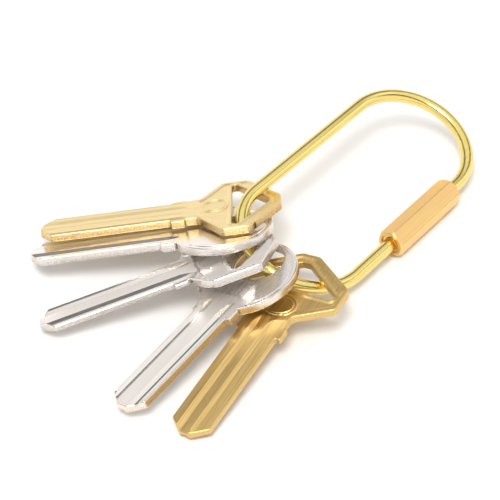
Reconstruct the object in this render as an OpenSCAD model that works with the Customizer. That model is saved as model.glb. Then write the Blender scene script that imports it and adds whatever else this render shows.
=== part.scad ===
// Wire key ring with a hexagonal screw sleeve and five key blanks.
// The frame has +Z up, with the table at z = 0, and +X along the loop's straight arms.

/* [Wire loop] */
// Diameter of the loop's wire
wire_d = 3.2; // [3:0.05:3.3]
// Distance between the centre lines of the two straight arms
arm_gap = 31.2; // [30:0.1:32]
// Length of the two straight arms
arm_l = 41.5; // [40:0.5:44]
// Lean of the loop about its lower arm, in degrees up from the table
loop_lean = 19; // [18:0.5:20]
// Height of the lower arm's centre line above the table
arm_z = 3.65; // [3.64:0.01:3.8]
// Place of the lower arm's middle on the table, which centres the part on the origin
middle_at = [23.74, -30.31]; // [-90:0.01:90]

/* [Screw sleeve] */
// Width of the sleeve across its flats
sleeve_af = 6.35; // [6.2:0.05:6.5]
// Length of the sleeve
sleeve_l = 25; // [24:0.5:26]
// Distance from the middle of the lower arm back to the sleeve's mouth
sleeve_back = 7.5; // [6:0.5:9]
// Turn of the sleeve about its own axis when it is screwed home
sleeve_turn = 7.5; // [0:0.5:60]
// Engaged length of the thread, which is also how far the sleeve slides to open the loop
thread_l = 8; // [7:0.5:9]
// Diameter of the stop on the plain end of the wire
stop_d = 4.4; // [4.2:0.1:4.5]
// Length of the stop along the wire
stop_l = 1.5; // [1.2:0.1:2]
// Thickness of the ring that keeps the stop inside the sleeve
ring_t = 0.9; // [0.7:0.1:1]

/* [Key blanks] */
// Overall length of a key
key_l = 57; // [56.5:0.1:57.2]
// Thickness of a key
key_t = 2; // [1.8:0.05:2]
// Width of the blade
blade_w = 9.5; // [9:0.1:9.6]
// Distance from the tip to the shoulder that stops the key in its lock
shoulder_x = 31; // [30:0.5:31.5]
// Distance from the tip to the end of the neck
neck_x = 37.6; // [37:0.1:38]
// Widest part of the six-sided bows
bow_w = 27.4; // [26:0.1:27.6]
// Widest part of the ridged bow
ridged_w = 25; // [24:0.1:25.4]
// Radius of the round bows
round_r = 11.9; // [11:0.1:12]
// Radius of the hole in the round bows
round_hole_r = 6; // [5.8:0.1:6.2]
// Depth of the grooves milled in the blades
groove_d = 0.55; // [0.3:0.05:0.6]

/* [Key positions] */
// Tip of key 1, from the middle of the lower arm and the table
key_1_at = [-56.8, 65.4, 4.8]; // [-90:0.1:90]
// Roll, pitch and heading of key 1 in degrees
key_1_turn = [-17.6, 7.4, -49.2]; // [-90:0.1:90]
// Tip of key 2, from the middle of the lower arm and the table
key_2_at = [-63.2, 62.7, 3.3]; // [-90:0.1:90]
// Roll, pitch and heading of key 2
key_2_turn = [-18, 8.6, -50.1]; // [-90:0.1:90]
// Tip of key 3, from the middle of the lower arm and the table
key_3_at = [-77.2, 46.8, 1.3]; // [-90:0.1:90]
// Roll, pitch and heading of key 3
key_3_turn = [-21.6, 9.7, -32.7]; // [-90:0.1:90]
// Tip of key 4, from the middle of the lower arm and the table
key_4_at = [-85.3, 15.1, 1.8]; // [-90:0.1:90]
// Roll, pitch and heading of key 4
key_4_turn = [-17.5, 6.3, 1.1]; // [-90:0.1:90]
// Tip of key 5, from the middle of the lower arm and the table
key_5_at = [-81.8, 0.7, 0.5]; // [-90:0.1:90]
// Roll, pitch and heading of key 5
key_5_turn = [-9.6, 6, 8.3]; // [-90:0.1:90]

/* [Hidden] */
eps = 0.01;
big = 100;
wire_r = wire_d / 2;
bend_r = arm_gap / 2;
run = 0.05;
// The sleeve's inside, measured from its mouth
lip_l = 0.5;
lip_r = 2.45;
seat_r = 2.65;
chamber_r = stop_d / 2 + 0.1;
chamber_x = lip_l + ring_t + 0.1;
stop_x = chamber_x + 0.1;
thread_x = sleeve_l - thread_l;
mouth_x = -sleeve_back;
chamfer = 0.55;
// Hexagon's corner radius
corner = sleeve_af / 2 / cos(30);
half_blade = blade_w / 2;
half_neck = 5.3;
half_stop = 6;
stop_w = 3.4;
tip_l = 2.8;
tip_half = 1.3;
six_x0 = 43;
six_x1 = 49.5;
nose_half = 2.3;
ridged_x0 = 39.2;
ridged_x1 = 50.3;
round_x = key_l - round_r;
round_hole_x = 49.7;
six_hole_x = 45.3;
six_hole_half = 11.2;
six_hole_tip = 54.1;
ridged_hole_x = 44.2;
ridged_hole_half = 9.6;
ridged_hole_tip = 54.4;
corner_r = 0.9;
cutter_r = 14;
brass = [0.80, 0.66, 0.30];
sleeve_brass = [0.80, 0.60, 0.33];
key_brass = [0.74, 0.60, 0.34];
nickel = [0.74, 0.72, 0.69];

// Children are drawn in the loop's plane: x along the arms, the lower arm at y = 0
module in_loop() {
  translate([middle_at[0], middle_at[1], arm_z])
    rotate([loop_lean, 0, 0])
      children();
}

// Children are drawn with the sleeve's mouth at the origin and its axis along +X
module in_sleeve() {
  in_loop()
    translate([mouth_x, 0, 0])
      children();
}

module rod(x0, x1, r) {
  translate([x0, 0, 0])
    rotate([0, 90, 0])
      cylinder(r = r, h = x1 - x0, $fn = 48);
}

module bend() {
  rotate([0, 0, -90])
    rotate_extrude(angle = 180, $fn = 96)
      translate([bend_r, 0])
        circle(r = wire_r, $fn = 48);
}

module wire_loop() {
  color(brass)
    in_loop() {
      translate([arm_l / 2, bend_r, 0]) bend();
      translate([-arm_l / 2, bend_r, 0]) mirror([1, 0, 0]) bend();
      translate([0, arm_gap, 0]) rod(-arm_l / 2, arm_l / 2, wire_r);
      rod(-arm_l / 2, mouth_x + stop_x + stop_l, wire_r);
      rod(mouth_x + thread_x + eps, arm_l / 2, wire_r);
    }
}

module end_stop() {
  color(brass)
    in_sleeve()
      difference() {
        rod(stop_x, stop_x + stop_l, stop_d / 2);
        rod(stop_x - 1, stop_x + stop_l + 1, wire_r);
      }
}

module retaining_ring() {
  color(sleeve_brass)
    in_sleeve()
      difference() {
        rod(lip_l + run, lip_l + run + ring_t, seat_r - run);
        rod(0, lip_l + ring_t + 1, wire_r + run);
      }
}

module hex_rod(x0, x1, r0, r1) {
  translate([x0, 0, 0])
    rotate([sleeve_turn - loop_lean, 0, 0])
      rotate([0, 90, 0])
        cylinder(r1 = r0, r2 = r1, h = x1 - x0, $fn = 6);
}

module hex_sleeve() {
  color(sleeve_brass)
    in_sleeve()
      difference() {
        union() {
          hex_rod(0, chamfer, corner - chamfer, corner);
          hex_rod(chamfer, sleeve_l - chamfer, corner, corner);
          hex_rod(sleeve_l - chamfer, sleeve_l, corner, corner - chamfer);
        }
        rod(-1, lip_l + eps, lip_r);
        rod(lip_l, chamber_x + eps, seat_r);
        rod(chamber_x, thread_x, chamber_r);
        rod(thread_x - eps, sleeve_l + 1, wire_r + run);
      }
}

// Joins an upper half outline and a lower one, which is given with its y values positive
function outline(upper, lower) =
  concat(upper, [for (i = [len(lower) - 1 : -1 : 0]) [lower[i][0], -lower[i][1]]]);

function blade_half(stop) = [
  [0, tip_half],
  [tip_l, half_blade],
  [shoulder_x, half_blade],
  [shoulder_x, stop],
  [shoulder_x + stop_w, stop],
  [shoulder_x + stop_w, half_neck]
];

function six_half(stop) = concat(blade_half(stop), [
  [neck_x, half_neck],
  [six_x0, bow_w / 2],
  [six_x1, bow_w / 2],
  [key_l, nose_half]
]);

function ridged_half(stop) = concat(blade_half(stop), [
  [neck_x - 2.9, half_neck],
  [neck_x - 0.8, 0.8 * ridged_w / 2],
  [ridged_x0, ridged_w / 2],
  [ridged_x1, ridged_w / 2],
  [key_l, nose_half]
]);

function round_half(stop) = concat(blade_half(stop), [
  [neck_x + 2, half_neck]
]);

// Three-cornered hole with rounded corners, its flat side towards the blade
module bow_hole(x0, half, x1) {
  offset(r = corner_r, $fn = 24)
    offset(delta = -corner_r)
      polygon([[x0, half], [x0 + 1.2, half + 0.5], [x1, 0.9], [x1, -0.9], [x0 + 1.2, -half - 0.5], [x0, -half]]);
}

// A groove cut along the blade by a disc cutter, which leaves a curved run-out
module groove(y, w, x1, top) {
  z0 = top ? key_t - groove_d : groove_d - big;
  zc = top ? key_t - groove_d + cutter_r : groove_d - cutter_r;
  translate([-1, y - w / 2, z0]) cube([x1 + 1, w, big]);
  translate([x1, y + w / 2, zc]) rotate([90, 0, 0]) cylinder(r = cutter_r, h = w, $fn = 96);
}

module blade_grooves() {
  groove(2.5, 1.7, shoulder_x + 1.5, true);
  groove(-1.7, 1.7, shoulder_x + 1.5, true);
  groove(0.3, 1.7, shoulder_x + 1.5, false);
}

module placed(at, turn) {
  translate([middle_at[0] + at[0], middle_at[1] + at[1], at[2]])
    rotate([turn[0], -turn[1], turn[2]])
      children();
}

module six_key(at, turn) {
  color(key_brass)
    placed(at, turn)
      difference() {
        linear_extrude(key_t) polygon(outline(six_half(half_neck + 0.3), six_half(half_stop)));
        translate([0, 0, -1])
          linear_extrude(key_t + 2) bow_hole(six_hole_x, six_hole_half, six_hole_tip);
        blade_grooves();
      }
}

module round_key(at, turn) {
  color(nickel)
    placed(at, turn)
      difference() {
        union() {
          linear_extrude(key_t) polygon(outline(round_half(half_neck + 0.3), round_half(half_stop)));
          translate([round_x, 0, 0]) cylinder(r = round_r, h = key_t, $fn = 96);
        }
        translate([round_hole_x, 0, -1]) cylinder(r = round_hole_r, h = key_t + 2, $fn = 64);
        blade_grooves();
      }
}

module ridged_key(at, turn) {
  color(nickel)
    placed(at, turn)
      difference() {
        linear_extrude(key_t) polygon(outline(ridged_half(half_neck + 0.3), ridged_half(half_stop)));
        translate([0, 0, -1])
          linear_extrude(key_t + 2) bow_hole(ridged_hole_x, ridged_hole_half, ridged_hole_tip);
        blade_grooves();
      }
}

module key_1() {
  six_key(key_1_at, key_1_turn);
}

module key_2() {
  round_key(key_2_at, key_2_turn);
}

module key_3() {
  ridged_key(key_3_at, key_3_turn);
}

module key_4() {
  round_key(key_4_at, key_4_turn);
}

module key_5() {
  six_key(key_5_at, key_5_turn);
}

wire_loop();
end_stop();
retaining_ring();
hex_sleeve();
key_1();
key_2();
key_3();
key_4();
key_5();
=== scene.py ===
import math

import bpy
import numpy as np
from mathutils import Matrix, Vector
from mathutils.geometry import delaunay_2d_cdt


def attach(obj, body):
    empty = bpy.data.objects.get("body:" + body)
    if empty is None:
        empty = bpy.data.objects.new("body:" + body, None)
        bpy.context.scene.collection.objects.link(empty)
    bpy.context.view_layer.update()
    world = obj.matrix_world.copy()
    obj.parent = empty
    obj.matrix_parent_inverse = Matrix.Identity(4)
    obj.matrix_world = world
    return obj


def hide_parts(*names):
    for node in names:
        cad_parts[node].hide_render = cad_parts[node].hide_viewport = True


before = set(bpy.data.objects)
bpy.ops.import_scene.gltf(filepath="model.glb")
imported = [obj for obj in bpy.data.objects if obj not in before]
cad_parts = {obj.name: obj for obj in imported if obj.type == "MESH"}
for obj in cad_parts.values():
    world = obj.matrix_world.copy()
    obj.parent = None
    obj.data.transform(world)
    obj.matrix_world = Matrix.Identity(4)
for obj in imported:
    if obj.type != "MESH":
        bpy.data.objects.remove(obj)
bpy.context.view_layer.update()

MM = 0.001

# ---------------------------------------------------------------- dimensions, as in the CAD source
WIRE_R = 1.6
ARM_GAP = 31.2
ARM_L = 41.5
LEAN = 19.0
ARM_Z = 3.65
MIDDLE = (23.74, -30.31)
SLEEVE_AF = 6.35
SLEEVE_L = 25.0
MOUTH_X = -7.5
SLEEVE_TURN = 7.5
THREAD_X = 17.0
CHAMBER_X = 1.5
CHAMBER_R = 2.3
LIP_L = 0.5
LIP_R = 2.45
SEAT_R = 2.65
RING_T = 0.9
STOP_X = 1.6
STOP_L = 1.5
STOP_R = 2.2
RUN = 0.05
CHAMFER = 0.55
KEY_L = 57.0
KEY_T = 2.0
HALF_BLADE = 4.75
SHOULDER_X = 31.0
STOP_W = 3.4
HALF_NECK = 5.3
HALF_STOP = 6.0
NECK_X = 37.6
TIP_L = 2.8
TIP_HALF = 1.3
BOW_HALF = 13.7
RIDGED_HALF = 12.5
ROUND_R = 11.9
ROUND_HOLE_R = 6.0
ROUND_HOLE_X = 49.7
CUTTER_R = 14.0
# Each key's place beside the loop's middle, and its roll, pitch and heading in degrees
PLACES = {
    "key_1": ((-56.8, 65.4, 4.8), (-17.6, 7.4, -49.2)),
    "key_2": ((-63.2, 62.7, 3.3), (-18.0, 8.6, -50.1)),
    "key_3": ((-77.2, 46.8, 1.3), (-21.6, 9.7, -32.7)),
    "key_4": ((-85.3, 15.1, 1.8), (-17.5, 6.3, 1.1)),
    "key_5": ((-81.8, 0.7, 0.5), (-9.6, 6.0, 8.3)),
}


# ---------------------------------------------------------------- node materials
# Sockets of a colour Mix node, which share their names with its other types
MIX_A = 6
MIX_B = 7
MIX_RESULT = 2
# Noise and bump settings that all the metals share. Noise scales are per metre
STREAK_DETAIL = 6.0
STREAK_ROUGHNESS = 0.65
CLOUD_SCALE = 190.0
CLOUD_DETAIL = 5.0
GRAIN_DETAIL = 4.0
GRAIN_ROUGHNESS = 0.7
CHIP_SCALE = 3200.0
CHIP_DETAIL = 5.0
BUMP_DEPTH = 0.06


def set_inputs(node, values):
    """Sets a node's inputs to constants."""
    for name, value in values.items():
        node.inputs[name].default_value = value


def new_node(tree, kind, values, **links):
    """A node with constant inputs. Each link names an input and gives the socket that feeds it."""
    node = tree.nodes.new(kind)
    set_inputs(node, values)
    for name, source in links.items():
        tree.links.new(source, node.inputs[name])
    return node


def new_noise(tree, vector, scale, detail, roughness):
    """A noise texture's factor."""
    values = {"Scale": scale, "Detail": detail, "Roughness": roughness}
    return new_node(tree, "ShaderNodeTexNoise", values, Vector=vector).outputs["Fac"]


def new_range(tree, source, from_low, from_high, to_low, to_high):
    """A value mapped from one range to another, and held inside it."""
    values = {"From Min": from_low, "From Max": from_high, "To Min": to_low, "To Max": to_high}
    return new_node(tree, "ShaderNodeMapRange", values, Value=source).outputs["Result"]


def new_math(tree, operation, first, second):
    """The sum or product of two sockets, or of a socket and a number."""
    node = tree.nodes.new("ShaderNodeMath")
    node.operation = operation
    tree.links.new(first, node.inputs[0])
    if isinstance(second, float):
        node.inputs[1].default_value = second
    else:
        tree.links.new(second, node.inputs[1])
    return node.outputs["Value"]


def new_mix(tree, factor, first, second):
    """A blend of two colours. The first is a socket or a colour, the second a colour."""
    node = tree.nodes.new("ShaderNodeMix")
    node.data_type = "RGBA"
    if isinstance(first, tuple):
        node.inputs[MIX_A].default_value = (*first, 1)
    else:
        tree.links.new(first, node.inputs[MIX_A])
    node.inputs[MIX_B].default_value = (*second, 1)
    tree.links.new(factor, node.inputs[0])
    return node.outputs[MIX_RESULT]


def new_attribute(tree, name):
    """A mesh attribute's factor."""
    node = tree.nodes.new("ShaderNodeAttribute")
    node.attribute_name = name
    return node.outputs["Fac"]


def metal(name, light, dark, tint, rough, streak, grain, bump, edge_colour, edge_share,
          satin=None, foot=None):
    """A metal: streaks along x, mottling, fine grain in its bump, and another tone on its edges, which is
    wear on the keys and painted dark reflections on the sleeve's corners and mouth.

    rough and bump are each a pair: the roughness range, and the strength of the streaks' and grain's bump.
    satin is the roughness added to as-rolled faces and their metallic value, and foot is the edge tone's
    share at a plate's lower and upper face.
    """
    m = bpy.data.materials.new(name)
    m.use_nodes = True
    tree = m.node_tree
    tree.nodes.clear()
    out = tree.nodes.new("ShaderNodeOutputMaterial")
    bsdf = tree.nodes.new("ShaderNodeBsdfPrincipled")
    tree.links.new(bsdf.outputs["BSDF"], out.inputs["Surface"])
    bsdf.inputs["Metallic"].default_value = 1.0
    here = tree.nodes.new("ShaderNodeTexCoord").outputs["Object"]
    stretch = new_node(tree, "ShaderNodeMapping", {"Scale": streak}, Vector=here)
    lines = new_noise(tree, stretch.outputs["Vector"], 1.0, STREAK_DETAIL, STREAK_ROUGHNESS)
    cloud = new_noise(tree, here, CLOUD_SCALE, CLOUD_DETAIL, 0.5)
    speck = new_noise(tree, here, grain, GRAIN_DETAIL, GRAIN_ROUGHNESS)
    chips = new_noise(tree, here, CHIP_SCALE, CHIP_DETAIL, GRAIN_ROUGHNESS)
    edge = new_attribute(tree, "edge")

    # colour: streaks between the dark and the light tone, clouds of the tint, then the edge tone, which is
    # wear on the keys and painted dark reflections on the sleeve's corners and mouth
    tone = new_mix(tree, new_range(tree, lines, 0.3, 0.62, 0.0, 1.0), dark, light)
    wash = new_mix(tree, new_range(tree, cloud, 0.42, 0.75, 0.0, 0.7), tone, tint)
    # share of the edge tone: wear on the keys' edges, painted dark reflections on the sleeve's corners and
    # mouth
    broken = new_range(tree, chips, 0.42, 0.62, 0.25 * edge_share, edge_share)
    if foot is not None:
        # side walls are darkest near the lower face
        height = new_node(tree, "ShaderNodeSeparateXYZ", {}, Vector=here).outputs["Z"]
        broken = new_math(tree, "MULTIPLY", broken, new_range(tree, height, 0.0, KEY_T * MM, *foot))
    wear_and_painted_reflection = new_mix(tree, new_math(tree, "MULTIPLY", edge, broken), wash, edge_colour)
    tree.links.new(wear_and_painted_reflection, bsdf.inputs["Base Color"])

    # roughness, which is higher on as-rolled faces
    both = new_math(tree, "ADD", lines, speck)
    gloss = new_range(tree, new_math(tree, "MULTIPLY", both, 0.5), 0.25, 0.75, *rough)
    if satin is not None:
        flat = new_range(tree, new_attribute(tree, "land"), 0.86, 0.97, 0.0, 1.0)
        gloss = new_math(tree, "ADD", gloss, new_range(tree, flat, 0.0, 1.0, 0.0, satin[0]))
        tree.links.new(new_range(tree, flat, 0.0, 1.0, 1.0, satin[1]), bsdf.inputs["Metallic"])
    tree.links.new(gloss, bsdf.inputs["Roughness"])

    # bump: the streaks, then the grain, which is coarser on the edges
    streaks = new_node(
        tree, "ShaderNodeBump", {"Strength": bump[0], "Distance": BUMP_DEPTH * MM}, Height=lines)
    coarse = new_range(tree, edge, 0.0, 1.0, bump[1], 2.0 * bump[1])
    grains = new_node(
        tree, "ShaderNodeBump", {"Distance": BUMP_DEPTH * MM},
        Strength=coarse, Height=speck, Normal=streaks.outputs["Normal"])
    tree.links.new(grains.outputs["Normal"], bsdf.inputs["Normal"])
    return m


def floor_paint():
    """A matt white paper for the floor."""
    m = bpy.data.materials.new("floor_paper")
    m.use_nodes = True
    tree = m.node_tree
    bsdf = tree.nodes["Principled BSDF"]
    here = tree.nodes.new("ShaderNodeTexCoord").outputs["Object"]
    mottle = new_node(tree, "ShaderNodeTexNoise", {"Scale": 900.0}, Vector=here).outputs["Fac"]
    tone = new_mix(tree, mottle, (0.90, 0.895, 0.89), (0.93, 0.925, 0.92))
    tree.links.new(tone, bsdf.inputs["Base Color"])
    set_inputs(bsdf, {"Roughness": 0.8, "Specular IOR Level": 0.1})
    return m


WIRE_BRASS = metal(
    "wire_brass", (0.92, 0.76, 0.28), (0.80, 0.62, 0.19), (0.86, 0.68, 0.25),
    (0.13, 0.24), (30, 2200, 2200), 2600.0, (0.12, 0.08), (0.75, 0.52, 0.15), 0.5)
# the sleeve's dark brown edge tone is painted reflection: dark lines along the hexagon's corners and a
# dark patch on the mouth's end face
SLEEVE_BRASS = metal(
    "sleeve_brass", (0.95, 0.66, 0.27), (0.90, 0.58, 0.22), (0.93, 0.60, 0.28),
    (0.34, 0.46), (60, 2600, 2600), 3000.0, (0.14, 0.10), (0.40, 0.24, 0.09), 1.0)
KEY_1_BRASS = metal(
    "key_brass_light", (0.97, 0.79, 0.43), (0.84, 0.64, 0.30), (0.92, 0.72, 0.37),
    (0.26, 0.42), (70, 2400, 2400), 4200.0, (0.40, 0.40), (0.42, 0.24, 0.09), 0.8, foot=(1.5, 0.4))
KEY_5_BRASS = metal(
    "key_brass_dark", (0.88, 0.63, 0.26), (0.62, 0.42, 0.155), (0.76, 0.535, 0.21),
    (0.24, 0.42), (70, 2400, 2400), 4200.0, (0.65, 0.50), (0.62, 0.42, 0.17), 0.7)
NICKEL = metal(
    "key_nickel", (0.93, 0.895, 0.86), (0.84, 0.79, 0.745), (0.89, 0.84, 0.79),
    (0.14, 0.26), (70, 2400, 2400), 4200.0, (0.12, 0.16), (0.30, 0.25, 0.21), 0.7, foot=(1.3, 0.3))
NICKEL_SATIN = metal(
    "key_nickel_satin", (0.90, 0.865, 0.83), (0.81, 0.765, 0.72), (0.86, 0.81, 0.76),
    (0.14, 0.26), (70, 2400, 2400), 4200.0, (0.12, 0.16), (0.30, 0.25, 0.21), 0.7,
    satin=(0.22, 0.62), foot=(1.3, 0.3))
NICKEL_WORN = metal(
    "key_nickel_worn", (0.93, 0.895, 0.86), (0.84, 0.79, 0.745), (0.89, 0.84, 0.79),
    (0.14, 0.24), (70, 2400, 2400), 4200.0, (0.12, 0.16), (0.62, 0.44, 0.22), 0.75,
    satin=(0.16, 0.72), foot=(1.3, 0.4))


# ---------------------------------------------------------------- mesh helpers
def add_mesh(name, verts, faces, material, edge=None, sharp=32.0, land=None):
    """Makes an object from points in millimetres, smooth but for its sharp edges."""
    me = bpy.data.meshes.new(name)
    me.from_pydata((np.asarray(verts, float) * MM).tolist(), [], faces)
    me.validate()
    me.shade_smooth()
    me.set_sharp_from_angle(angle=math.radians(sharp))
    wear_and_painted_reflection = me.attributes.new("edge", "FLOAT", "POINT")
    values = np.zeros(len(me.vertices)) if edge is None else np.asarray(edge, float)
    wear_and_painted_reflection.data.foreach_set("value", values.astype(np.float32))
    if land is not None:
        as_made = me.attributes.new("land", "FLOAT", "POINT")
        as_made.data.foreach_set("value", np.asarray(land, np.float32))
    me.materials.append(material)
    ob = bpy.data.objects.new(name, me)
    bpy.context.scene.collection.objects.link(ob)
    return ob


def rounded(corners, turn=12.0):
    """A closed outline of (x, y, radius) corners, each turned into an arc."""
    out = []
    count = len(corners)
    for i, (x, y, r) in enumerate(corners):
        p = np.array([x, y], float)
        a = np.array(corners[i - 1][:2], float) - p
        b = np.array(corners[(i + 1) % count][:2], float) - p
        la = np.linalg.norm(a)
        lb = np.linalg.norm(b)
        u = a / la
        v = b / lb
        half = math.acos(max(-1.0, min(1.0, float(u @ v)))) / 2
        if r <= 0 or half > math.radians(88):
            out.append(p)
            continue
        d = min(r / math.tan(half), 0.48 * la, 0.48 * lb)
        r = d * math.tan(half)
        c = p + (u + v) / np.linalg.norm(u + v) * r / math.sin(half)
        s = p + u * d - c
        e = p + v * d - c
        a0 = math.atan2(s[1], s[0])
        sweep = (math.atan2(e[1], e[0]) - a0 + math.pi) % (2 * math.pi) - math.pi
        n = max(2, math.ceil(abs(sweep) / math.radians(turn)))
        for k in range(n + 1):
            t = a0 + sweep * k / n
            out.append(c + r * np.array([math.cos(t), math.sin(t)]))
    return np.array(out)


def spread(loop, step):
    """The closed loop with points no further apart than step."""
    out = []
    for i in range(len(loop)):
        a = loop[i]
        b = loop[(i + 1) % len(loop)]
        n = max(1, math.ceil(np.linalg.norm(b - a) / step))
        for k in range(n):
            out.append(a + (b - a) * k / n)
    return np.array(out)


def tidy_loop(loop, least):
    """The closed loop without points closer together than least."""
    keep = [loop[0]]
    for p in loop[1:]:
        if np.linalg.norm(p - keep[-1]) > least:
            keep.append(p)
    if np.linalg.norm(keep[-1] - keep[0]) < least:
        keep.pop()
    return np.array(keep)


def area(loop):
    """Signed area of a closed loop, positive where it runs anticlockwise."""
    x, y = loop[:, 0], loop[:, 1]
    return 0.5 * float(np.sum(x * np.roll(y, -1) - np.roll(x, -1) * y))


def inset(loop, d):
    """The loop moved d to its left, which is into the metal."""
    nxt = np.roll(loop, -1, 0) - loop
    prv = loop - np.roll(loop, 1, 0)
    n1 = np.stack([-nxt[:, 1], nxt[:, 0]], 1)
    n2 = np.stack([-prv[:, 1], prv[:, 0]], 1)
    n1 /= np.linalg.norm(n1, axis=1)[:, None]
    n2 /= np.linalg.norm(n2, axis=1)[:, None]
    n = n1 + n2
    n /= np.maximum(np.linalg.norm(n, axis=1)[:, None], 1e-9)
    grow = 1 / np.maximum((n * n1).sum(1), 0.5)
    return loop + n * (d * grow)[:, None]


def gap_to(loop, pts):
    """Distance from each point to a closed loop."""
    a = loop
    b = np.roll(loop, -1, 0)
    d = b - a
    dd = np.maximum((d * d).sum(1), 1e-12)
    out = np.empty(len(pts))
    batch = 2000
    for s in range(0, len(pts), batch):
        p = pts[s:s + batch, None, :]
        t = np.clip(((p - a) * d).sum(2) / dd, 0, 1)
        q = a + t[..., None] * d
        out[s:s + batch] = np.sqrt(((p - q) ** 2).sum(2).min(1))
    return out


def inside(loop, pts):
    """True for each point inside a closed loop."""
    x, y = pts[:, 0], pts[:, 1]
    hit = np.zeros(len(pts), bool)
    for i in range(len(loop)):
        x0, y0 = loop[i - 1]
        x1, y1 = loop[i]
        if y0 == y1:
            continue
        cross = (y0 > y) != (y1 > y)
        hit ^= cross & (x < (x1 - x0) * (y - y0) / (y1 - y0) + x0)
    return hit


# Width of a key's rounded edges, and shares of it at which the mesh has a ring of points
BEVEL = 0.28
BEVEL_RINGS = (0.08, 0.3, 0.6, 1.0)
# How far wear reaches in from an edge, and how deep a face may lie and still count as rolled
WEAR_REACH = 0.16
ROLLED_DEPTH = 0.05
# The bows' share of the rolled faces' dullness, as the "land" attribute gives it
BOW_LAND = 0.92
PLATE_SHARP = 6.0


def plate(name, outline, hole, lines, points, top, bottom, material):
    """A milled plate: a triangulated outline with a hole, whose two faces follow height functions."""
    outline = tidy_loop(outline if area(outline) > 0 else outline[::-1], 0.02)
    hole = tidy_loop(hole if area(hole) < 0 else hole[::-1], 0.02)
    verts = []
    edges = []

    def add(path, closed):
        start = len(verts)
        verts.extend(map(tuple, path))
        n = len(path)
        edges.extend((start + i, start + i + 1) for i in range(n - 1))
        if closed:
            edges.append((start + n - 1, start))

    for loop in (outline, hole):
        add(loop, True)
        for share in BEVEL_RINGS:
            add(tidy_loop(inset(loop, BEVEL * share), 0.03), True)
    # feature lines and grid points stay clear of the rings
    clear = BEVEL + 0.08
    kept = []
    for path in lines:
        path = np.asarray(path, float)
        ok = inside(outline, path) & ~inside(hole, path)
        ok &= np.minimum(gap_to(outline, path), gap_to(hole, path)) > clear
        piece = []
        for p, good in zip(path, ok):
            if good:
                piece.append(p)
            else:
                if len(piece) > 1:
                    kept.append(np.array(piece))
                piece = []
        if len(piece) > 1:
            kept.append(np.array(piece))
    for path in kept:
        add(path, False)
    pts = np.asarray(points, float)
    ok = inside(outline, pts) & ~inside(hole, pts)
    pts = pts[ok]
    ok = np.minimum(gap_to(outline, pts), gap_to(hole, pts)) > clear
    verts.extend(map(tuple, pts[ok]))
    co, _, tris, _, _, _ = delaunay_2d_cdt([Vector(v) for v in verts], edges, [], 0, 1e-4, True)
    co = np.array([tuple(v) for v in co])
    tris = np.array(tris)
    mid = co[tris].mean(1)
    good = inside(outline, mid) & ~inside(hole, mid)
    tris = tris[good]
    a, b, c = co[tris[:, 0]], co[tris[:, 1]], co[tris[:, 2]]
    turn = (b[:, 0] - a[:, 0]) * (c[:, 1] - a[:, 1]) - (b[:, 1] - a[:, 1]) * (c[:, 0] - a[:, 0])
    tris[turn < 0] = tris[turn < 0][:, ::-1]
    tris = tris[np.abs(turn) > 1e-9]
    used = np.unique(tris)
    new = np.full(len(co), -1)
    new[used] = np.arange(len(used))
    co = co[used]
    tris = new[tris]
    d_out = gap_to(outline, co)
    d_hole = gap_to(hole, co)
    d = np.minimum(d_out, d_hole)
    fall = BEVEL - np.sqrt(np.maximum(BEVEL ** 2 - np.maximum(BEVEL - d, 0) ** 2, 0))
    z1 = top(co[:, 0], co[:, 1], d_out, d_hole) - fall
    z0 = bottom(co[:, 0], co[:, 1], d_out, d_hole) + fall
    n = len(co)
    v = np.concatenate([np.column_stack([co, z1]), np.column_stack([co, z0])])
    faces = [tuple(t) for t in tris.tolist()] + [tuple(n + i for i in t[::-1]) for t in tris.tolist()]
    # the side walls stand on the triangle sides that no other triangle shares
    sides = {}
    for t in tris.tolist():
        for i in range(3):
            sides[(t[i], t[(i + 1) % 3])] = True
    for i, j in sides:
        if (j, i) not in sides:
            faces.append((j, i, n + i, n + j))
    wear_and_painted_reflection = np.exp(-d / WEAR_REACH)
    # the flat faces are as they were rolled, and duller than the milled grooves
    depth1 = KEY_T - z1 - fall
    depth0 = z0 - fall
    blade = co[:, 0] < SHOULDER_X + 2 * STOP_W
    flat1 = np.where(blade, np.clip(1 - depth1 / ROLLED_DEPTH, 0, 1), BOW_LAND) * (d > BEVEL)
    flat0 = np.where(blade, np.clip(1 - depth0 / ROLLED_DEPTH, 0, 1), BOW_LAND) * (d > BEVEL)
    land = np.concatenate([flat1, flat0])
    return add_mesh(name, v, faces, material, np.concatenate([wear_and_painted_reflection, wear_and_painted_reflection]), PLATE_SHARP, land)


# ---------------------------------------------------------------- keys
OUTLINE_STEP = 0.45
# Where the grooves start to run out, and where the relief on the bows fades in
GROOVE_END = SHOULDER_X + 1.5
FIELD_X0 = 37.4
FIELD_X1 = 37.8


def ramp(x, a, b):
    """0 up to a and 1 from b, with a smooth step between them."""
    t = np.clip((x - a) / (b - a), 0, 1)
    return t * t * (3 - 2 * t)


def milled(x, y, marks):
    """Depth of a blade's grooves. marks are (y, depth) points, and a disc cutter's arc ends them."""
    ys, ds = zip(*marks)
    depth = np.interp(y, ys, ds)
    lift = np.maximum(x - GROOVE_END, 0) ** 2 / (2 * CUTTER_R)
    return np.maximum(depth - lift, 0)


def blade_lines(marks):
    """A feature line along the blade at each mark, with points closer together where grooves end."""
    xs = np.concatenate([np.arange(0.2, GROOVE_END, 0.8), np.arange(GROOVE_END, GROOVE_END + 4.4, 0.25)])
    return [np.column_stack([xs, np.full(len(xs), y)]) for y, _ in marks]


def grid(x0, x1, y0, y1, sx, sy):
    """Points in rows sy apart, sx apart along a row, with every second row moved by half of sx."""
    gx, gy = np.meshgrid(np.arange(x0, x1, sx), np.arange(y0, y1, sy))
    gx = gx + (np.arange(gx.shape[0]) % 2)[:, None] * sx * 0.5
    return np.column_stack([gx.ravel(), gy.ravel()])


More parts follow.
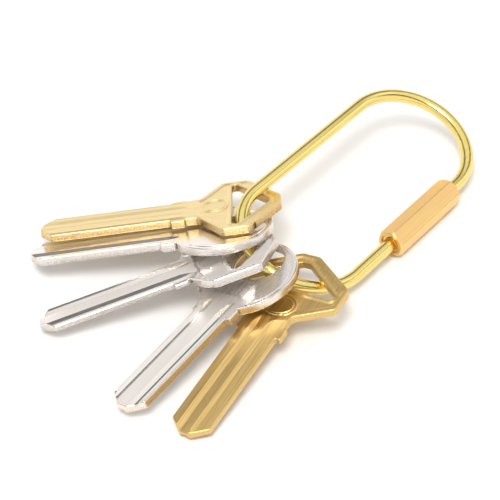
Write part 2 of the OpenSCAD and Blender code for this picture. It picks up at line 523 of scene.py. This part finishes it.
def blade_grid():
    """Grid points of a blade and, closer together, of the place where its grooves end."""
    return [
        grid(0.5, GROOVE_END, -4.2, 4.2, 1.1, 0.55),
        grid(GROOVE_END, GROOVE_END + 5, -5.6, 5.6, 0.3, 0.3),
    ]


def blade_corners(stop, side):
    """Half of a blade's outline, from the tip to the neck, on one side."""
    return [
        (0, side * TIP_HALF, 0.5),
        (TIP_L, side * HALF_BLADE, 0.5),
        (SHOULDER_X, side * HALF_BLADE, 0.35),
        (SHOULDER_X, side * stop, 0.4),
        (SHOULDER_X + STOP_W, side * stop, 0.4),
        (SHOULDER_X + STOP_W, side * HALF_NECK, 0.3),
    ]


def both_sides(bow):
    """The closed outline of a key: its blade, and a bow given as corners on the +y side."""
    left = blade_corners(HALF_NECK + 0.3, 1) + bow
    right = blade_corners(HALF_STOP, -1) + [(x, -y, r) for x, y, r in bow]
    return right + left[::-1]


SIX_BOW = [(NECK_X, HALF_NECK, 1.6), (43.0, BOW_HALF, 1.4), (49.5, BOW_HALF, 1.6), (KEY_L, 2.3, 2.0)]
RIDGED_BOW = [
    (NECK_X - 2.9, HALF_NECK, 0.4),
    (NECK_X - 0.8, 0.8 * RIDGED_HALF, 1.4),
    (39.2, RIDGED_HALF, 1.6),
    (50.3, RIDGED_HALF, 1.4),
    (KEY_L, 2.3, 2.0),
]


def mirrored(half):
    """A closed outline from the corners on its +y side."""
    return half + [(x, -y, r) for x, y, r in half[::-1]]


SIX_HOLE = mirrored([(45.3, 11.3, 1.0), (46.5, 11.8, 0.8), (54.1, 0.9, 1.2)])
RIDGED_HOLE = mirrored([(44.2, 9.7, 1.0), (45.4, 10.2, 0.8), (54.4, 0.9, 1.2)])


def ring_points(cx, cy, rx, ry, n=72):
    """A closed ring of points on an ellipse, whose last point is its first."""
    t = np.linspace(0, 2 * math.pi, n + 1)
    return np.column_stack([cx + rx * np.cos(t), cy + ry * np.sin(t)])


def bump_ring(x, y, cx, cy, rx, ry, half):
    """1 on an ellipse's line, falling to 0 at half from it."""
    r = np.hypot((x - cx) / rx, (y - cy) / ry)
    d = np.abs(r - 1) * min(rx, ry)
    return 1 - ramp(d, 0.35 * half, half)


# Relief of the six-sided bows: the slope from border to sunk field, from the outline and from the hole
FIELD_OUT = (1.0, 1.6)
FIELD_HOLE = (0.55, 1.15)
FIELD_DEPTH = 0.22
FIELD_DEPTH_UNDER = 0.13
OVAL_RISE = 0.18
INNER_RISE = 0.14
INNER_GAP = 0.8


def six_key(name, marks_top, marks_bottom, oval, material):
    """A key with a six-sided bow: a raised border round a sunk field with a double oval."""
    outline = spread(rounded(both_sides(SIX_BOW)), OUTLINE_STEP)
    hole = spread(rounded(SIX_HOLE), OUTLINE_STEP)
    cx, cy, rx, ry = oval

    def sunk(x, d_out, d_hole):
        return ramp(d_out, *FIELD_OUT) * ramp(d_hole, *FIELD_HOLE) * ramp(x, FIELD_X0, FIELD_X1)

    def top(x, y, d_out, d_hole):
        z = KEY_T - milled(x, y, marks_top)
        z -= FIELD_DEPTH * sunk(x, d_out, d_hole)
        z += OVAL_RISE * bump_ring(x, y, cx, cy, rx, ry, 0.3)
        z += INNER_RISE * bump_ring(x, y, cx, cy, rx - INNER_GAP, ry - INNER_GAP, 0.25)
        return z

    def bottom(x, y, d_out, d_hole):
        return milled(x, y, marks_bottom) + FIELD_DEPTH_UNDER * sunk(x, d_out, d_hole)

    lines = blade_lines(marks_top)
    closed = spread(rounded(both_sides(SIX_BOW)), 0.4)
    turned = closed if area(closed) > 0 else closed[::-1]
    for d in FIELD_OUT:
        ring = inset(turned, d)
        ring = ring[(gap_to(turned, ring) > d - 0.02)]
        ring = ring[ring[:, 0] > 37.0]
        jumps = np.where(np.linalg.norm(np.diff(ring, axis=0), axis=1) > 1.5)[0]
        lines.extend(np.split(ring, jumps + 1))
    cut = hole if area(hole) < 0 else hole[::-1]
    for d in FIELD_HOLE:
        ring = inset(cut, d)
        lines.append(np.vstack([ring, ring[:1]]))
    for x in (FIELD_X0, FIELD_X1):
        ys = np.arange(-4.2, 4.3, 0.4)
        lines.append(np.column_stack([np.full(len(ys), x), ys]))
    # rings of points on both sides of the outer oval, then of the inner one
    for k in (-0.3, -0.12, 0.12, 0.3, -1.05, -0.88, -0.72, -0.55):
        lines.append(ring_points(cx, cy, rx + k, ry + k))
    points = np.vstack(blade_grid() + [grid(37.5, KEY_L, -14, 14, 0.7, 0.6)])
    return plate(name, outline, hole, lines, points, top, bottom, material)


# The round bows' groove: how far its middle is in from the rim, and its depth on both faces
ROUND_LINE_IN = 1.15
ROUND_LINE = 0.22
ROUND_LINE_UNDER = 0.10


def round_key(name, marks_top, marks_bottom, material):
    """A key with a round bow: a groove just inside its rim, and a low step round its hole."""
    round_x = KEY_L - ROUND_R
    a0 = math.asin((HALF_NECK + 0.2) / ROUND_R)
    arc = np.linspace(math.pi - a0, -math.pi + a0, 120)
    bow = [(round_x + ROUND_R * math.cos(t), ROUND_R * math.sin(t), 0.0) for t in arc]
    left = blade_corners(HALF_NECK + 0.3, 1)
    right = blade_corners(HALF_STOP, -1)
    outline = spread(rounded(right + bow[::-1] + left[::-1]), OUTLINE_STEP)
    hole = ring_points(ROUND_HOLE_X, 0, ROUND_HOLE_R, ROUND_HOLE_R)[:-1]

    def line(x, y):
        r = np.hypot(x - round_x, y)
        fade = ramp(x, 37.6, 38.6)
        return fade * (1 - ramp(np.abs(r - ROUND_R + ROUND_LINE_IN), 0.05, 0.2))

    def top(x, y, d_out, d_hole):
        z = KEY_T - milled(x, y, marks_top)
        return z - ROUND_LINE * line(x, y) - 0.05 * (1 - ramp(d_hole, 0.5, 0.6))

    def bottom(x, y, d_out, d_hole):
        return milled(x, y, marks_bottom) + ROUND_LINE_UNDER * line(x, y)

    lines = blade_lines(marks_top)
    for k in (0.95, 1.1, 1.2, 1.35):
        lines.append(ring_points(round_x, 0, ROUND_R - k, ROUND_R - k, 160))
    for k in (0.5, 0.6):
        lines.append(ring_points(ROUND_HOLE_X, 0, ROUND_HOLE_R + k, ROUND_HOLE_R + k))
    points = np.vstack(blade_grid() + [grid(37.5, KEY_L, -12, 12, 0.7, 0.6)])
    return plate(name, outline, hole, lines, points, top, bottom, material)


# The ridged bow: the ridges' spacing, slant and depth, and the plain round dish
RIDGE_PITCH = 0.56
RIDGE_LEAN = math.radians(-50)
RIDGE_DEPTH = 0.2
DISH_X = 41.0
DISH_Y = -1.2
DISH_R = 4.0


def ridged_key(name, marks_top, marks_bottom, material):
    """A key with a six-sided bow covered in slanting ridges round a plain dish."""
    outline = spread(rounded(both_sides(RIDGED_BOW)), OUTLINE_STEP)
    hole = spread(rounded(RIDGED_HOLE), OUTLINE_STEP)

    def top(x, y, d_out, d_hole):
        z = KEY_T - milled(x, y, marks_top)
        across = x * math.sin(RIDGE_LEAN) + y * math.cos(RIDGE_LEAN)
        saw = np.abs((across / RIDGE_PITCH) % 1.0 - 0.5) * 2
        r = np.hypot(x - DISH_X, y - DISH_Y)
        field = ramp(d_out, 0.9, 1.1) * ramp(d_hole, 0.6, 0.8) * ramp(x, 37.2, 37.6)
        field = field * ramp(r, DISH_R, DISH_R + 0.15)
        z -= field * (0.04 + RIDGE_DEPTH * saw)
        z -= 0.22 * (1 - ramp(r, DISH_R - 0.35, DISH_R - 0.05))
        z += 0.12 * (1 - ramp(np.abs(r - DISH_R + 1.1), 0.05, 0.25))
        return z

    def bottom(x, y, d_out, d_hole):
        return milled(x, y, marks_bottom)

    # a line along each ridge's crest and foot, over the bow's extent across and along the ridges
    lines = blade_lines(marks_top)
    step = RIDGE_PITCH / 2
    along = np.arange(-47, -13, 0.7)
    for k in range(int(-52 / step), int(-19 / step)):
        across = k * step
        xs = across * math.sin(RIDGE_LEAN) - along * math.cos(RIDGE_LEAN)
        ys = across * math.cos(RIDGE_LEAN) + along * math.sin(RIDGE_LEAN)
        path = np.column_stack([xs, ys])
        path = path[(path[:, 0] > 37.7)]
        if len(path) > 1:
            lines.append(path)
    rings = [ring_points(DISH_X, DISH_Y, DISH_R - k, DISH_R - k, n) for k, n in (
        (0.35, 90), (0.05, 90), (1.1, 70), (1.35, 70), (0.85, 70))]
    points = np.vstack(blade_grid() + rings)
    return plate(name, outline, hole, lines, points, top, bottom, material)


# Cross-sections of the blades, from the -y edge to the +y edge: (y, depth below the face)
FINE = [(-4.7, 0.20), (-4.0, 0.0), (-2.3, 0.0), (-2.2, 0.07), (-1.5, 0.06), (-1.0, 0.0), (0.4, 0.0),
        (0.5, 0.21), (1.2, 0.21), (2.5, 0.0), (3.5, 0.0), (3.6, 0.14), (4.1, 0.14), (4.7, 0.06)]
WIDE = [(-4.7, 0.52), (-1.95, 0.32), (-0.98, 0.0), (-0.9, 0.5), (1.4, 0.5), (2.7, 0.02), (4.7, 0.02)]
VEES = [(-4.7, 0.0), (-3.7, 0.0), (-3.6, 0.42), (-3.1, 0.42), (-2.65, 0.36), (-1.65, 0.0),
        (2.05, 0.0), (2.15, 0.42), (2.7, 0.42), (3.3, 0.36), (4.2, 0.0), (4.7, 0.0)]
STEPS = [(-4.75, 0.76), (-4.0, 0.39), (-2.8, 0.0), (1.1, 0.0), (1.2, 0.73), (2.9, 0.73), (3.83, 0.27),
         (4.7, 0.0)]
UNDER = [(-4.7, 0.0), (-0.8, 0.0), (-0.4, 0.5), (1.0, 0.5), (1.4, 0.0), (4.7, 0.0)]

KEYS = {
    "key_1": six_key("key_1_blank", FINE, UNDER, (41.4, 0.6, 3.1, 3.5), KEY_1_BRASS),
    "key_2": round_key("key_2_blank", VEES, UNDER, NICKEL),
    "key_3": ridged_key("key_3_blank", STEPS, UNDER, NICKEL_SATIN),
    "key_4": round_key("key_4_blank", VEES, UNDER, NICKEL_WORN),
    "key_5": six_key("key_5_blank", WIDE, UNDER, (40.4, -0.8, 3.2, 3.9), KEY_5_BRASS),
}


def place(name):
    """A key's own frame: its roll, pitch and heading, at its place beside the loop's middle."""
    at, turn = PLACES[name]
    roll, pitch, heading = (math.radians(v) for v in turn)
    level = Matrix.Rotation(heading, 4, "Z")
    spin = level @ Matrix.Rotation(-pitch, 4, "Y") @ Matrix.Rotation(roll, 4, "X")
    where = Vector((MIDDLE[0] + at[0], MIDDLE[1] + at[1], at[2])) * MM
    return Matrix.Translation(where) @ spin


for name, ob in KEYS.items():
    ob.matrix_world = place(name)
    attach(ob, name)
    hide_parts(name)


# ---------------------------------------------------------------- wire loop, stop, sleeve and ring
LOOP_AT = Matrix.Translation(Vector((MIDDLE[0], MIDDLE[1], ARM_Z)) * MM)
LOOP_PLACE = LOOP_AT @ Matrix.Rotation(math.radians(LEAN), 4, "X")


def tube(name, path, normal, radius_at, sides, material):
    """A tube along a planar path. radius_at gives its radius at a point's index and angle."""
    path = np.asarray(path, float)
    n = len(path)
    tangent = np.gradient(path, axis=0)
    tangent /= np.linalg.norm(tangent, axis=1)[:, None]
    up = np.asarray(normal, float)
    verts = []
    for i in range(n):
        side = np.cross(up, tangent[i])
        side /= np.linalg.norm(side)
        for k in range(sides):
            t = 2 * math.pi * k / sides
            r = radius_at(i, t)
            verts.append(path[i] + r * (math.cos(t) * side + math.sin(t) * up))
    faces = []
    for i in range(n - 1):
        for k in range(sides):
            a = i * sides + k
            b = i * sides + (k + 1) % sides
            faces.append((a, b, b + sides, a + sides))
    faces.append(tuple(range(sides))[::-1])
    faces.append(tuple((n - 1) * sides + k for k in range(sides)))
    return add_mesh(name, verts, faces, material)


# Numbers of points round each bend and along the thread
BEND_POINTS = 73
THREAD_POINTS = 260


def loop_path():
    """Centre line of the wire: from its plain end, round both bends, to its threaded end."""
    half = ARM_L / 2
    r = ARM_GAP / 2
    x_plain = MOUTH_X + STOP_X + STOP_L
    x_thread = MOUTH_X + THREAD_X + 0.01
    pts = [(x, 0) for x in np.linspace(x_plain, -half, 24)]
    for t in np.linspace(0, math.pi, BEND_POINTS)[1:]:
        pts.append((-half - r * math.sin(t), r - r * math.cos(t)))
    pts += [(x, ARM_GAP) for x in np.linspace(-half, half, 40)[1:]]
    for t in np.linspace(0, math.pi, BEND_POINTS)[1:]:
        pts.append((half + r * math.sin(t), r + r * math.cos(t)))
    thread_end = MOUTH_X + SLEEVE_L
    pts += [(x, 0) for x in np.linspace(half, thread_end, 6)[1:]]
    body = len(pts)
    pts += [(x, 0) for x in np.linspace(thread_end, x_thread, THREAD_POINTS)[1:]]
    return np.array([(x, y, 0) for x, y in pts]), body, thread_end, x_thread


PATH, BODY, THREAD_FROM, THREAD_TO = loop_path()
PITCH = 0.5
THREAD_DEPTH = 0.3
# Lengths over which the thread starts and ends, and the plain end's broken edge
THREAD_RUN_IN = 0.6
THREAD_NOSE = 0.5
END_BREAK = 0.25


def wire_radius(i, t):
    """The wire's radius: round along the loop, and a screw thread inside the sleeve."""
    if i == 0:
        return WIRE_R - END_BREAK
    if i < BODY:
        return WIRE_R
    x = PATH[i][0]
    turn = (x / PITCH + t / (2 * math.pi)) % 1.0
    wave = abs(turn - 0.5) * 2
    end = min(1.0, (THREAD_FROM - x) / THREAD_RUN_IN)
    nose = max(0.0, 1.0 - (x - THREAD_TO) / THREAD_NOSE)
    return WIRE_R - THREAD_DEPTH * end * wave - THREAD_DEPTH * nose * (1 - wave)


wire = tube("wire_loop_rod", PATH, (0, 0, 1), wire_radius, 48, WIRE_BRASS)
wire.matrix_world = LOOP_PLACE
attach(wire, "wire_loop")
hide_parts("wire_loop")


def lathe(name, profile, sides, material, at_x):
    """A closed ring turned about x from (x, r) points."""
    verts = []
    for x, r in profile:
        for k in range(sides):
            t = 2 * math.pi * k / sides
            verts.append((x, r * math.cos(t), r * math.sin(t)))
    n = len(profile)
    faces = []
    for i in range(n):
        for k in range(sides):
            a = i * sides + k
            b = i * sides + (k + 1) % sides
            c = ((i + 1) % n) * sides
            faces.append((b, a, c + k, c + (k + 1) % sides))
    ob = add_mesh(name, verts, faces, material)
    ob.matrix_world = LOOP_PLACE @ Matrix.Translation(Vector((at_x, 0, 0)) * MM)
    return ob


BROKEN_EDGE = 0.12
STOP_END = STOP_X + STOP_L
stop = lathe("end_stop_collar", [
    (STOP_X, WIRE_R), (STOP_X, STOP_R - BROKEN_EDGE), (STOP_X + BROKEN_EDGE, STOP_R),
    (STOP_END - BROKEN_EDGE, STOP_R), (STOP_END, STOP_R - BROKEN_EDGE), (STOP_END, WIRE_R)],
    64, WIRE_BRASS, MOUTH_X)
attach(stop, "wire_loop")
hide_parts("end_stop")


def ring_profile(x0, x1, r0, r1, e):
    """A ring's section with its four corners broken by e."""
    return [
        (x0 + e, r0), (x0, r0 + e), (x0, r1 - e), (x0 + e, r1),
        (x1 - e, r1), (x1, r1 - e), (x1, r0 + e), (x1 - e, r0)]


keeper = lathe(
    "retaining_ring_turned",
    ring_profile(LIP_L + RUN, LIP_L + RUN + RING_T, WIRE_R + RUN, SEAT_R - RUN, BROKEN_EDGE),
    72, SLEEVE_BRASS, MOUTH_X)
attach(keeper, "retaining_ring")
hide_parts("retaining_ring")


# The hexagon's corners: how much is worn off them, over what angle, and a hair of room everywhere
CORNER_SOFT = 0.10
CORNER_SPAN = 0.05
CORNER_ROOM = 0.012


def hex_r(t):
    """Radius of the hexagon with slightly rounded corners at angle t."""
    apothem = SLEEVE_AF / 2
    s = (t + math.pi / 6) % (math.pi / 3) - math.pi / 6
    flat = apothem / math.cos(math.pi / 6 - abs(s))
    corner = apothem / math.cos(math.pi / 6)
    return min(flat, corner - CORNER_SOFT * (1 - min(1.0, abs(s) / CORNER_SPAN)) - CORNER_ROOM)


# Angles either side of a corner where the sleeve has points, closer together near the corner
CORNER_ANGLES = (0.018, 0.035, 0.06, 0.10, 0.15, 0.22, 0.30, 0.38, 0.46)
SLEEVE_SHARP = 24.0
# Length of the turned cone at the sleeve's ends for each millimetre that it cuts off the corners
END_CONE = 1.2
# Broken edges at the sleeve's ends and at its threaded bore, and where the shading rows stand
END_BREAK_R = 0.06
END_BREAK_X = 0.05
BORE_BREAK = 0.3
SHADING_ROW = 4.0
# Painted dark reflections on the hexagon's corners and on the mouth's end face, as the "edge" attribute
# gives them
CORNER_PAINTED_REFLECTION = 0.8
CORNER_PAINTED_REFLECTION_SPAN = 0.03
MOUTH_PAINTED_REFLECTION = 0.35


def sleeve_mesh():
    """Points, faces and edge tone of the sleeve, which paints dark reflections on its corners and mouth:
    one closed section for each angle about its axis.
    """
    corner = SLEEVE_AF / 2 / math.cos(math.pi / 6)
    about = [-s for s in CORNER_ANGLES[::-1]] + [0.0] + list(CORNER_ANGLES) + [math.pi / 6]
    angles = [k * math.pi / 3 + s for k in range(6) for s in about]
    r_end = corner - CHAMFER
    rows = []
    wear_and_painted_reflection = []
    for t in angles:
        h = hex_r(t)
        # the turned end: a cone that cuts only the corners
        face_r = min(h, r_end)
        c = END_CONE * max(0.0, h - r_end)
        mouth = [
            (0.0, LIP_R + BROKEN_EDGE), (0.0, face_r - END_BREAK_R), (END_BREAK_X, face_r)]
        flats = [
            (c + END_BREAK_R, h), (SHADING_ROW, h), (SLEEVE_L / 2, h), (SLEEVE_L - SHADING_ROW, h),
            (SLEEVE_L - c - END_BREAK_R, h)]
        far_end = [
            (SLEEVE_L - END_BREAK_X, face_r), (SLEEVE_L, face_r - END_BREAK_R),
            (SLEEVE_L, WIRE_R + RUN + BORE_BREAK), (SLEEVE_L - BORE_BREAK, WIRE_R + RUN)]
        bore = [
            (THREAD_X, WIRE_R + RUN), (THREAD_X, CHAMBER_R), (CHAMBER_X, CHAMBER_R),
            (CHAMBER_X, SEAT_R), (LIP_L, SEAT_R), (LIP_L, LIP_R), (BROKEN_EDGE, LIP_R)]
        rows.append(mouth + flats + far_end + bore)
        s = (t + math.pi / 6) % (math.pi / 3) - math.pi / 6
        # the corners and the mouth's end face get painted dark reflections in the edge tone
        ridge = CORNER_PAINTED_REFLECTION * max(0.0, 1.0 - abs(s) / CORNER_PAINTED_REFLECTION_SPAN)
        wear_and_painted_reflection += [MOUTH_PAINTED_REFLECTION] * len(mouth) + [ridge] * len(flats) + [0.0] * len(far_end + bore)
    n = len(rows[0])
    verts = [(x, r * math.cos(t), r * math.sin(t)) for t, row in zip(angles, rows) for x, r in row]
    faces = []
    m = len(angles)
    for i in range(m):
        j = (i + 1) % m
        for k in range(n):
            q = (k + 1) % n
            faces.append((i * n + k, j * n + k, j * n + q, i * n + q))
    return verts, faces, wear_and_painted_reflection


# the sleeve's edge attribute carries its painted dark reflections
verts, faces, wear_and_painted_reflection = sleeve_mesh()
sleeve = add_mesh("hex_sleeve_turned", verts, faces, SLEEVE_BRASS, wear_and_painted_reflection, SLEEVE_SHARP)
# the lowest corner of the hexagon is sleeve_turn past straight down
corner_down = math.radians(SLEEVE_TURN - LEAN - 90)
sleeve_at = LOOP_PLACE @ Matrix.Translation(Vector((MOUTH_X, 0, 0)) * MM)
sleeve.matrix_world = sleeve_at @ Matrix.Rotation(corner_down, 4, "X")
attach(sleeve, "hex_sleeve")
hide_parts("hex_sleeve")

# ---------------------------------------------------------------- floor, light and camera
HALF_FLOOR = 3000 * MM
me = bpy.data.meshes.new("floor")
me.from_pydata(
    [(x * HALF_FLOOR, y * HALF_FLOOR, 0) for x, y in ((-1, -1), (1, -1), (1, 1), (-1, 1))],
    [], [(0, 1, 2, 3)])
me.materials.append(floor_paint())
floor = bpy.data.objects.new("floor", me)
bpy.context.scene.collection.objects.link(floor)

AZIMUTH = math.radians(-51.73)
ELEVATION = math.radians(42.0)
DISTANCE = 420.0
AIM = Vector((-2.46, -3.11, 0.0))
back = Vector((
    math.sin(AZIMUTH) * math.cos(ELEVATION),
    -math.cos(AZIMUTH) * math.cos(ELEVATION),
    math.sin(ELEVATION)))
cam_data = bpy.data.cameras.new("camera")
cam_data.sensor_width = 36.0
cam_data.lens = 127.2
cam_data.clip_start = 0.01
cam_data.clip_end = 20.0
cam = bpy.data.objects.new("camera", cam_data)
cam.location = (AIM + back * DISTANCE) * MM
cam.rotation_mode = "QUATERNION"
cam.rotation_quaternion = (-back).to_track_quat("-Z", "Y")
bpy.context.scene.collection.objects.link(cam)
bpy.context.scene.camera = cam


def softbox(name, direction, distance, size, power, colour):
    """A square area light that faces the object."""
    data = bpy.data.lights.new(name, "AREA")
    data.shape = "RECTANGLE"
    data.size, data.size_y = size
    data.energy = power
    data.color = colour
    ob = bpy.data.objects.new(name, data)
    d = Vector(direction).normalized()
    ob.location = d * distance
    ob.rotation_mode = "QUATERNION"
    ob.rotation_quaternion = (-d).to_track_quat("-Z", "Y")
    bpy.context.scene.collection.objects.link(ob)
    return ob


softbox("key_light", (-0.39, -0.18, 0.90), 1.0, (0.40, 0.40), 6.0, (1.0, 0.99, 0.975))
softbox("side_light", (0.60, -0.55, 0.60), 1.0, (0.55, 0.55), 0.6, (1.0, 0.99, 0.975))

# The sky's brightness at places along the upward direction's z, with a dark band low in the sky
SKY = ((0.0, 1.16), (0.44, 1.06), (0.53, 0.10), (0.67, 0.12), (0.76, 1.05), (1.0, 1.05))
world = bpy.data.worlds.new("studio")
bpy.context.scene.world = world
world.use_nodes = True
nt = world.node_tree
bg = nt.nodes["Background"]
coord = nt.nodes.new("ShaderNodeTexCoord")
split = nt.nodes.new("ShaderNodeSeparateXYZ")
nt.links.new(coord.outputs["Generated"], split.inputs["Vector"])
sky = nt.nodes.new("ShaderNodeValToRGB")
while len(sky.color_ramp.elements) < len(SKY):
    sky.color_ramp.elements.new(0.5)
for stop_at, (height, value) in zip(sky.color_ramp.elements, SKY):
    stop_at.position = height
    stop_at.color = (value, 0.985 * value, 0.97 * value, 1)
nt.links.new(split.outputs["Z"], sky.inputs["Fac"])
nt.links.new(sky.outputs["Color"], bg.inputs["Color"])
bg.inputs["Strength"].default_value = 0.97

bpy.context.scene.view_settings.view_transform = "Standard"
